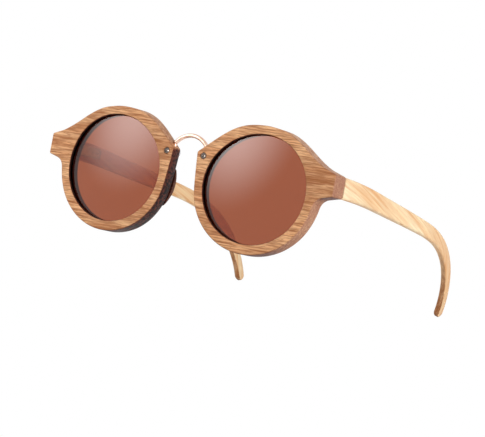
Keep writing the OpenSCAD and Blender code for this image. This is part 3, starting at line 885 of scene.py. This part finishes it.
def end_tree(tree, made, label, geometry, material):
    """The end of a tree: real geometry that has its material."""
    real = add_node(tree, "GeometryNodeRealizeInstances", {"Geometry": geometry}).outputs["Geometry"]
    finish = add_node(tree, "GeometryNodeSetMaterial", {"Geometry": real, "Material": material})
    feed(tree, made, {label: finish.outputs["Geometry"]})
    print(tree.name, "tree has", len(tree.nodes), "nodes")
    return tree


# %% Geometry Nodes tree for the swept bar
burn_from, burn_to, face_burn = 0.84, 0.98, 0.14
burn_spread, burn_spread_power = 0.5, 4.0


def swept_bar_tree():
    tree, given, made = new_tree(
        "GeometryNodeTree", "swept_bar",
        {"Spine": "Geometry", "Sides": "Int", "Edge Burn": "Float", "Finish": "Material"},
        {"Bar": "Geometry"})
    path = add_node(tree, "GeometryNodeMeshToCurve", {"Mesh": given["Spine"]})
    circle = add_node(tree, "GeometryNodeCurvePrimitiveCircle", {
        "Resolution": given["Sides"], "Radius": 1.0})
    half_step = math_node(tree, "DIVIDE", math.pi, given["Sides"])
    turn = add_node(tree, "ShaderNodeCombineXYZ", {"Z": half_step}).outputs["Vector"]
    ring = add_node(tree, "GeometryNodeTransform", {
        "Geometry": circle.outputs["Curve"], "Rotation": turn})
    position = tree.nodes.new("GeometryNodeInputPosition").outputs["Position"]
    profile = store(tree, ring.outputs["Geometry"], "ring", position, "FLOAT_VECTOR")
    sweep = add_node(tree, "GeometryNodeCurveToMesh", {
        "Curve": path.outputs["Curve"], "Profile Curve": profile, "Fill Caps": True})

    on_ring = add_node(tree, "ShaderNodeSeparateXYZ", {"Vector": point_vector(tree, "ring")}).outputs
    radius = point_value(tree, "round")
    across = rounded_offset(tree, on_ring["X"], point_value(tree, "half_t"), radius)
    upright = rounded_offset(tree, on_ring["Y"], point_value(tree, "half_h"), radius)
    sideways = vector_node(tree, "SCALE", {0: point_vector(tree, "out"), "Scale": across})
    upwards = vector_node(tree, "SCALE", {0: point_vector(tree, "up"), "Scale": upright})
    offset = vector_node(tree, "ADD", {0: sideways, 1: upwards})
    where = vector_node(tree, "ADD", {0: point_vector(tree, "middle"), 1: offset})
    shape = add_node(tree, "GeometryNodeSetPosition", {
        "Geometry": sweep.outputs["Mesh"], "Position": where})

    in_wood = add_node(tree, "ShaderNodeCombineXYZ", {
        "X": point_value(tree, "along"), "Y": across, "Z": upright}).outputs["Vector"]
    grained = store(tree, shape.outputs["Geometry"], "bent_grain", in_wood, "FLOAT_VECTOR")
    brown = point_value(tree, "brown")
    spread = math_node(tree, "MULTIPLY", burn_spread, math_node(tree, "POWER", brown, burn_spread_power))
    to_edge = math_node(tree, "ADD", math_node(tree, "ABSOLUTE", on_ring["Y"]), spread)
    burn = ramp(tree, to_edge, burn_from, burn_to, math_node(tree, "MULTIPLY", brown, face_burn),
                math_node(tree, "MULTIPLY", brown, given["Edge Burn"]), "LINEAR")
    return end_tree(tree, made, "Bar", store(tree, grained, "burn", burn), given["Finish"])


swept_bar = swept_bar_tree()

# %% [markdown]
# A tree works on a mesh that is only points. What each point carries is written as attributes, the
# modifier's inputs are set by the identifiers of their sockets, and the result is baked, so that
# the piece ends as a plain mesh.

# %% Helpers that run a tree
merge_distance = 1e-6


def rework(piece, change):
    """Merges double points of a piece's mesh and then changes it."""
    builder = bmesh.new()
    builder.from_mesh(piece.data)
    bmesh.ops.remove_doubles(builder, verts=builder.verts, dist=merge_distance)
    change(builder)
    builder.to_mesh(piece.data)
    builder.free()


def run_tree(name, tree, rows, edges, inputs):
    """The piece that a tree makes from points. Each row is what one point carries."""
    mesh = bpy.data.meshes.new(name)
    mesh.from_pydata([row["middle"] for row in rows], edges, [])
    for key, sample in rows[0].items():
        if isinstance(sample, Vector):
            layer = mesh.attributes.new(key, "FLOAT_VECTOR", "POINT")
            layer.data.foreach_set("vector", [x for row in rows for x in row[key]])
        else:
            layer = mesh.attributes.new(key, "FLOAT", "POINT")
            layer.data.foreach_set("value", [row[key] for row in rows])
    piece = bpy.data.objects.new(name, mesh)
    scene.collection.objects.link(piece)
    modifier = piece.modifiers.new(tree.name, "NODES")
    modifier.node_group = tree
    for item in tree.interface.items_tree:
        if item.name in inputs:
            modifier[item.identifier] = inputs[item.name]
    bake(piece)
    for key in [*rows[0], "ring"]:
        spent = piece.data.attributes.get(key)
        if spent:
            piece.data.attributes.remove(spent)
    rework(piece, lambda b: bmesh.ops.recalc_face_normals(b, faces=b.faces))
    return piece


def sweep_bar(name, stations, sides, edge_burn, finish):
    """A bar along stations, each with its middle, up, out, half_h, half_t and round."""
    edges = [(i, i + 1) for i in range(len(stations) - 1)]
    return run_tree(name, swept_bar, stations, edges,
                    {"Sides": sides, "Edge Burn": edge_burn, "Finish": finish})


def slowing(length, steps, short):
    """Lengths that come closer together and stop just short of the end, by a share of a step."""
    return [length * math.sin(math.pi / 2 * k / (steps + short)) for k in range(1, steps + 1)]


print("ready to sweep")

# %% [markdown]
# ## Temples
# A temple leaves the endpiece at its full height, slopes a little, narrows, and then hooks down
# behind the ear while it turns inwards. The rule is two angles and two sizes as functions of the
# length along the bar, so its middle is added up in short steps with the heading of each.

# %% Make the temples
temple_len, straight_len, tip_len = 145.0, 76.0, 2.4
temple_t, tip_t, tip_thin = 4.0, 2.7, 0.5
shank_h, tip_h = 6.4, 4.6
droop, hook_bend, hook_in = 6.0, 81.0, 14.5
ease_len, hook_lead_len, hook_power = 30.0, 20.0, 1.8
temple_edge_r, round_limit = 1.0, 0.9
butt_gap = 0.15
butt_y = front_t + butt_gap
hook_len = temple_len - straight_len
shaft_steps, tip_steps, tip_short = 120, 14, 0.2
brown_from, brown_to, least_brown = 96.0, 140.0, 0.2
next_board = 300.0
temple_sides, temple_burn = 32, 0.58


def down_at(s):
    bend = max(0.0, (s - straight_len) / hook_len) ** hook_power
    return math.radians(droop * min(1, s / ease_len) + hook_bend * bend)


def heading(s):
    lead = hook_len + hook_lead_len
    a, g = down_at(s), math.radians(hook_in * max(0.0, (s - temple_len + lead) / lead))
    return Vector((-math.sin(g), math.cos(g) * math.cos(a), -math.cos(g) * math.sin(a)))


def height_at(s):
    if s < straight_len:
        return between(endpiece_h, shank_h, s / straight_len)
    return between(shank_h, tip_h, (s - straight_len) / hook_len)


def brown_at(s):
    """How dark the edges are: little along the side of the head, most at the tip."""
    share = max(0.0, min(1.0, (s - brown_from) / (brown_to - brown_from)))
    return between(least_brown, 1, share)


def temple_stations(side):
    tip_start = temple_len - tip_len
    lengths = [tip_start * k / shaft_steps for k in range(shaft_steps + 1)]
    lengths += [tip_start + x for x in slowing(tip_len, tip_steps, tip_short)]
    point, last = Vector((end_x - temple_t / 2, butt_y, endpiece_z)), 0.0
    stations = []
    for s in lengths:
        point = point + (s - last) * heading((s + last) / 2)
        last = s
        tip = max(0.0, (s - tip_start) / tip_len)
        k = math.sqrt(max(0.0, 1 - tip * tip))
        tall = height_at(s) / 2 * k
        thick = between(temple_t, tip_t, s / temple_len) / 2 * between(tip_thin, 1, k)
        rise = Vector((0, math.sin(down_at(s)), math.cos(down_at(s))))
        stations.append({
            "middle": place(*point, side), "up": aim(*rise, side),
            "out": aim(*heading(s).cross(rise), side), "half_h": tall * MM, "half_t": thick * MM,
            "round": min(temple_edge_r, round_limit * tall, round_limit * thick) * MM,
            "brown": brown_at(s), "along": (s + next_board * (side < 0)) * MM})
    return stations


for side_name, side in SIDES.items():
    name = side_name + "_temple"
    temple = sweep_bar(name + "_wood", temple_stations(side), temple_sides, temple_burn, temple_wood)
    stand_in(temple, name, name, usual_edge)

# %% [markdown]
# ## Bridge
# The bridge is one length of plated wire, bent to a low arch. Each end is hammered flat and
# widened to a round paddle, which lies in the slot of a rim and is held by a screw. The same tree
# makes it: the section goes from a round wire to a thin strap, and the strap's width follows a
# circle round the screw.

# %% Make the bridge
wire_r, bridge_rise, paddle_r, least_paddle = 0.9, 3.8, 2.0, 0.02
strap_edge_r, wire_round = 0.35, 0.98
arch_end = to_front(tab_top.x, tab_y, tab_top.y)
bridge_radius = (arch_end.x ** 2 + bridge_rise ** 2) / (2 * bridge_rise)
arch_angle = 2 * math.atan2(bridge_rise, arch_end.x)
arch_steps, tab_steps, tab_short = 48, 26, 0.3
flatten_len = 1.6
bridge_sides = 32


def ease(share):
    share = min(1.0, max(0.0, share))
    return share * share * (3 - 2 * share)


def tab_stations(side):
    """From the end of the arch down to the paddle's end beyond the screw."""
    run = screw_middle - tab_top
    width = Vector((-run.y, run.x)).normalized()
    stations = []
    for s in slowing(run.length + paddle_r, tab_steps, tab_short):
        flat = tab_top + run * (s / run.length)
        beyond = s - run.length
        paddle = 0
        if abs(beyond) < paddle_r:
            paddle = math.sqrt(max(least_paddle ** 2, paddle_r ** 2 - beyond ** 2))
        share = ease(s / flatten_len)
        wide = paddle if beyond > 0 else max(between(wire_r, tab_w / 2, share), paddle)
        thick = between(wire_r, tab_t / 2, share)
        edge = min(wire_round * thick, wire_round * wide, between(wire_r, strap_edge_r, share))
        stations.append({
            "middle": place(flat.x, tab_y, flat.y, side), "up": aim(width.x, 0, width.y, side) * side,
            "out": aim(0, 1, 0, side), "half_h": wide * MM, "half_t": thick * MM, "round": edge * MM})
    return stations


def arch_stations():
    centre = Vector((0, arch_end.y, arch_end.z + bridge_rise - bridge_radius))
    stations = []
    for k in range(arch_steps + 1):
        angle = arch_angle * (1 - 2 * k / arch_steps)
        rise = Vector((math.sin(angle), 0, math.cos(angle)))
        stations.append({
            "middle": stood(centre + bridge_radius * rise), "up": lean_turn @ rise,
            "out": lean_turn @ Vector((0, 1, 0)), "half_h": wire_r * MM, "half_t": wire_r * MM,
            "round": wire_round * wire_r * MM})
    return stations


bridge_stations = tab_stations(1)[::-1] + arch_stations() + tab_stations(-1)
bridge = sweep_bar("bridge_wire", bridge_stations, bridge_sides, edge_burn=0.0, finish=rose_plating)
stand_in(bridge, "bridge", "front", soft_edge)

# %% [markdown]
# ## Screws and nuts
# Small fasteners repeat, so one of each is turned and a second Geometry Nodes tree sets copies on
# points. A head is a disc of rings whose height follows a rule: the dome or the flat, less the
# cross that the driver fits. Each point carries the direction that its fastener's head faces.

# %% Turned fasteners
turned_steps, head_rings = 64, 16
recess_wall = 0.3
screw_r, screw_head_r, screw_head_h, screw_chamfer = 0.8, 1.25, 0.7, 0.15
wood_screw_r, wood_screw_head_r, wood_screw_len, wood_screw_head_h = 0.5, 0.95, 2.8, 0.5
point_len, point_r, head_edge = 0.4, 0.06, 0.06
nut_r, nut_h, nut_bevel, nut_flat = 1.6, 1.0, 0.18, 0.9
dome_r = (screw_head_r ** 2 + screw_head_h ** 2) / (2 * screw_head_h)

# Half width, reach and depth of the driver's cross
domed_cross, flat_cross = (0.17, 0.72, 0.3), (0.13, 0.56, 0.26)


def cross_recess(u, v, half_width, reach, depth):
    """How far a cross-head driver's recess lies below the head at a point."""
    arm = max(min(half_width - abs(u), reach - abs(v)), min(half_width - abs(v), reach - abs(u)))
    return depth * ease(arm / (recess_wall * half_width) + 0.5)


def turned(builder, head, shank, cross):
    """A turned piece about Z. Rows give radius and height; only the head's rows have the cross."""
    loops = []
    for rows, has_cross in ((head, True), (shank, False)):
        for radius, height in rows:
            circle = [(radius * math.cos(a), radius * math.sin(a)) for a in round_angles(turned_steps)]
            loops.append([Vector((u, v, height - has_cross * cross_recess(u, v, *cross))) * MM
                          for u, v in circle])
    skin(builder, loops)


def domed_screw(builder):
    radii = [screw_head_r * (k + 1) / head_rings for k in range(head_rings)]
    head = [(r, math.sqrt(dome_r ** 2 - r ** 2) - dome_r + screw_head_h) for r in radii]
    end = -front_t - nut_h
    shank = [(screw_r, 0), (screw_r, end + screw_chamfer), (screw_r - screw_chamfer, end)]
    turned(builder, head, shank, domed_cross)


def countersunk_screw(builder):
    head = [(wood_screw_head_r * k / head_rings, 0) for k in range(1, head_rings)]
    shank = [(wood_screw_head_r, -head_edge), (wood_screw_r, -wood_screw_head_h),
             (wood_screw_r, point_len - wood_screw_len), (point_r, -wood_screw_len)]
    turned(builder, head, shank, flat_cross)


def hexagon_nut(builder):
    """A small nut whose corners are turned off, bored for the screw's end."""
    rows = ((screw_r, 0), (nut_r, 0), (nut_r, nut_h - nut_bevel), (nut_r - nut_bevel, nut_h),
            (screw_r, nut_h))
    loops = []
    for radius, height in rows:
        loop = []
        for a in round_angles(turned_steps):
            corner = (a % (math.pi / 3)) - math.pi / 6
            reach = min(radius, nut_flat * nut_r / math.cos(corner)) if radius > screw_r else radius
            loop.append(Vector((reach * math.cos(a), reach * math.sin(a), height)) * MM)
        loops.append(loop)
    skin(builder, loops, closed=True)


print("a head has", head_rings, "rings of", turned_steps, "points")

# %% [markdown]
# The tree sets an instance of one fastener on every point, turned to its direction, and makes the
# copies real. One mesh then holds a whole set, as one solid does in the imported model.

# %% Geometry Nodes tree that sets fasteners on points


def set_fasteners_tree():
    tree, given, made = new_tree(
        "GeometryNodeTree", "set_fasteners",
        {"Places": "Geometry", "Fastener": "Object", "Size": "Float", "Finish": "Material"},
        {"Set": "Geometry"})
    pattern = add_node(tree, "GeometryNodeObjectInfo", {"Object": given["Fastener"]})
    facing = add_node(tree, "FunctionNodeAlignRotationToVector", {
        "Vector": point_vector(tree, "driven")}, axis="Z")
    copies = add_node(tree, "GeometryNodeInstanceOnPoints", {
        "Points": given["Places"], "Instance": pattern.outputs["Geometry"],
        "Rotation": facing.outputs["Rotation"], "Scale": given["Size"]})
    return end_tree(tree, made, "Set", copies.outputs["Instances"], given["Finish"])


set_fasteners = set_fasteners_tree()


def fasten(name, pattern_maker, places, body, node, finish):
    """One mesh of fasteners: each place is a point and the direction its head faces."""
    pattern = new_piece(name + "_pattern", pattern_maker)
    rows = [{"middle": point, "driven": facing} for point, facing in places]
    piece = run_tree(name, set_fasteners, rows, [], {"Fastener": pattern, "Size": 1.0, "Finish": finish})
    bpy.data.objects.remove(pattern)
    stand_in(piece, node, body, usual_edge)


# %% Set the fasteners
temple_in = end_x - temple_t
leaf_screw_inset, leaf_screw_gap = 2.0, 3.8
leaf_screw_u = leaf_u + leaf_screw_inset
box_sink, tail_t = 0.6, 0.8
box_y, box_len, tail_len, tail_screw_inset = 10.9, 11.0, 8.0, 2.0
box_screw_u = temple_in + box_sink - tail_t
box_screw_d = (box_y + box_len + tail_screw_inset, box_y + box_len + tail_len - tail_screw_inset)

fasten("bridge_screw_set", domed_screw,
       [(place(screw_x, 0, screw_z, s), aim(0, -1, 0, s)) for s in SIDES.values()],
       "front", "bridge_screws", dark_nickel)
fasten("bridge_nut_set", hexagon_nut,
       [(place(screw_x, front_t, screw_z, s), aim(0, 1, 0, s)) for s in SIDES.values()],
       "front", "bridge_nuts", bright_steel)
for side_name, side in SIDES.items():
    fasten(side_name + "_leaf_screw_set", countersunk_screw,
           [(place(leaf_screw_u, front_t, endpiece_z + dv, side), aim(0, 1, 0, side))
            for dv in (-leaf_screw_gap / 2, leaf_screw_gap / 2)],
           "front", side_name + "_leaf_screws", bright_steel)
    fasten(side_name + "_box_screw_set", countersunk_screw,
           [(place(box_screw_u, d, endpiece_z, side), aim(-1, 0, 0, side)) for d in box_screw_d],
           side_name + "_temple", side_name + "_box_screws", bright_steel)

# %% [markdown]
# ## Hinges
# The leaf, the screw, the slider and the spring box are small steel pieces whose solids already
# have the right shape. Stamped and milled steel never has knife edges, so each is copied, its
# triangles are merged into clean faces, and a small bevel breaks its edges. The bush and the collar
# inside the box stay as they are and get their brass.

# %% Dress the hinge pieces
flat_limit, bevel_limit = math.radians(1), math.radians(40)


def dress(node, body, material, edge_mm):
    """A copy of a solid with its edges broken, in place of the solid."""
    piece = bpy.data.objects.new(node + "_metal", frame["nodes"][node].data.copy())
    scene.collection.objects.link(piece)
    rework(piece, lambda b: bmesh.ops.dissolve_limit(
        b, angle_limit=flat_limit, verts=b.verts, edges=b.edges))
    bevel = piece.modifiers.new("edges", "BEVEL")
    bevel.width = edge_mm * MM
    bevel.segments = 2
    bevel.limit_method = "ANGLE"
    bevel.angle_limit = bevel_limit
    bake(piece)
    piece.data.materials.clear()
    piece.data.materials.append(material)
    stand_in(piece, node, body, usual_edge)


for side_name in SIDES:
    dress(side_name + "_hinge_leaf", "front", satin_steel, edge_mm=0.12)
    dress(side_name + "_hinge_screw", "front", bright_steel, edge_mm=0.06)
    dress(side_name + "_slider", side_name + "_slider", satin_steel, edge_mm=0.08)
    dress(side_name + "_spring_box", side_name + "_temple", satin_steel, edge_mm=0.25)
    for inner in ("spring_bush", "spring_collar"):
        solid = frame["nodes"][side_name + "_" + inner]
        solid.data.materials.clear()
        solid.data.materials.append(turned_brass)

# %% [markdown]
# ## Springs
# Inside each box a coil of drawn wire sits between the bush and the collar, and it shortens when
# the temple is pushed outwards. Its middle line is a helix, so the swept bar makes it too. It rides
# with the temple.

# %% Make the springs
box_t, bush_len = 2.8, 1.5
spring_len, spring_wire, spring_turns, spring_play = 5.6, 0.3, 7, 0.05
spring_bore_r, rod_r = 1.05, 0.5
spring_u = temple_in + box_sink - box_t / 2
spring_d = box_y + bush_len
turn_steps, wire_sides = 24, 12


def spring_stations(side):
    coil_r = (spring_bore_r + rod_r) / 2
    first = spring_d + spring_play + spring_wire / 2
    rise = spring_len - spring_wire - 2 * spring_play
    half_wire = spring_wire / 2 * MM
    stations = []
    for k in range(spring_turns * turn_steps + 1):
        angle = 2 * math.pi * k / turn_steps
        u, v = math.cos(angle), math.sin(angle)
        d = first + rise * k / (spring_turns * turn_steps)
        stations.append({
            "middle": place(spring_u + coil_r * u, d, endpiece_z + coil_r * v, side),
            "up": aim(0, 1, 0, side), "out": aim(u, 0, v, side),
            "half_h": half_wire, "half_t": half_wire, "round": half_wire})
    return stations


for side_name, side in SIDES.items():
    name = side_name + "_spring"
    spring = sweep_bar(name + "_wire", spring_stations(side), wire_sides,
                       edge_burn=0.0, finish=spring_steel)
    stand_in(spring, name, side_name + "_temple", soft_edge)
    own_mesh(spring)

# %% [markdown]
# ## Stage
# The floor is pale and wide. The camera looks up from below its plane, so the floor is made
# one-sided: seen from below it lets the white behind it through, and from above it is a plain matt
# floor that takes the shadow, lifted a little for the camera alone. The world is white to the
# camera and to mirrors and glass, and gives a softer fill to everything else.

# %% Floor and world
WHITE = (1, 1, 1, 1)
floor_half, floor_gap, floor_glow = 4.0, 0.0001, 0.2
world_fill = 0.5


def make_floor():
    floor = new_piece("floor", lambda b: bmesh.ops.create_grid(
        b, x_segments=1, y_segments=1, size=floor_half))
    material, tree, shader = new_material("pale_floor")
    seen = tree.nodes.new("ShaderNodeLightPath").outputs["Is Camera Ray"]
    feed(tree, shader, {
        "Base Color": srgb(244, 243, 241), "Roughness": 0.8, "Emission Color": WHITE,
        "Emission Strength": math_node(tree, "MULTIPLY", seen, floor_glow)})
    clear = tree.nodes.new("ShaderNodeBsdfTransparent")
    below = tree.nodes.new("ShaderNodeNewGeometry").outputs["Backfacing"]
    one_sided = add_node(tree, "ShaderNodeMixShader", {
        0: below, 1: shader.outputs["BSDF"], 2: clear.outputs["BSDF"]})
    feed(tree, tree.nodes["Material Output"], {"Surface": one_sided.outputs["Shader"]})
    floor.data.materials.append(material)
    if floor.data.polygons[0].normal.z < 0:
        floor.data.flip_normals()
    floor.location.z = cad_low.z - floor_gap
    floor.visible_glossy = False


def make_world():
    world = bpy.data.worlds.new("studio")
    scene.world = world
    world.use_nodes = True
    tree = world.node_tree
    path = tree.nodes.new("ShaderNodeLightPath").outputs
    seen = math_node(tree, "MAXIMUM", path["Is Camera Ray"], path["Is Glossy Ray"])
    seen = math_node(tree, "MAXIMUM", seen, path["Is Transmission Ray"])
    strength = ramp(tree, seen, 0.0, 1.0, world_fill, 1.0, "LINEAR")
    feed(tree, tree.nodes["Background"], {"Color": WHITE, "Strength": strength})


make_floor()
make_world()
print("floor at", round(cad_low.z - floor_gap, 4))

# %% [markdown]
# ## Light
# Two soft lamps do the work of a small product studio: one beside the hinge end that brightens the
# temple, one in front. Two soft discs, bright in their middle, are seen by mirrors alone. The large
# one gives each lens its pale bloom, and the small one puts a spark on the screws.

# %% Lamps and soft discs
object_middle = (cad_low + cad_high) / 2
disc_sides = 64


def area_lamp(name, location, size, energy):
    data = bpy.data.lights.new(name, "AREA")
    data.shape = "DISK"
    data.size = size
    data.energy = energy
    lamp = bpy.data.objects.new(name, data)
    scene.collection.objects.link(lamp)
    lamp.location = location
    lamp.rotation_euler = (Vector(location) - object_middle).to_track_quat("Z", "Y").to_euler()
    lamp.visible_glossy = False


def soft_disc(name, azimuth, elevation, distance, radius, brightness):
    disc = new_piece(name + "_disc", lambda b: bmesh.ops.create_circle(
        b, cap_ends=True, segments=disc_sides, radius=radius))
    material, tree, shader = new_material(name)
    tree.nodes.remove(shader)
    off_middle = add_node(tree, "ShaderNodeVectorMath", {0: object_coords(tree)}, operation="LENGTH")
    glow = ramp(tree, off_middle.outputs["Value"], 0.0, radius, brightness, 0.0)
    emit = add_node(tree, "ShaderNodeEmission", {"Strength": glow})
    clear = tree.nodes.new("ShaderNodeBsdfTransparent")
    both = add_node(tree, "ShaderNodeAddShader", {0: emit.outputs["Emission"], 1: clear.outputs["BSDF"]})
    feed(tree, tree.nodes["Material Output"], {"Surface": both.outputs["Shader"]})
    disc.data.materials.append(material)
    towards = lean_turn @ direction(math.radians(azimuth), math.radians(elevation))
    disc.location = object_middle + distance * towards
    disc.rotation_euler = towards.to_track_quat("Z", "Y").to_euler()
    for ray in ("camera", "diffuse", "shadow", "transmission"):
        setattr(disc, "visible_" + ray, False)


area_lamp("side_lamp", (0.95, -0.30, 0.16), size=0.4, energy=5.0)
area_lamp("front_lamp", (-0.40, -0.42, 0.32), size=0.3, energy=1.6)
soft_disc("bloom", azimuth=-38.8, elevation=17.6, distance=3.0, radius=1.3, brightness=5.8)
soft_disc("spark", azimuth=44, elevation=0, distance=0.9, radius=0.42, brightness=14.0)
print("stage and lights set")
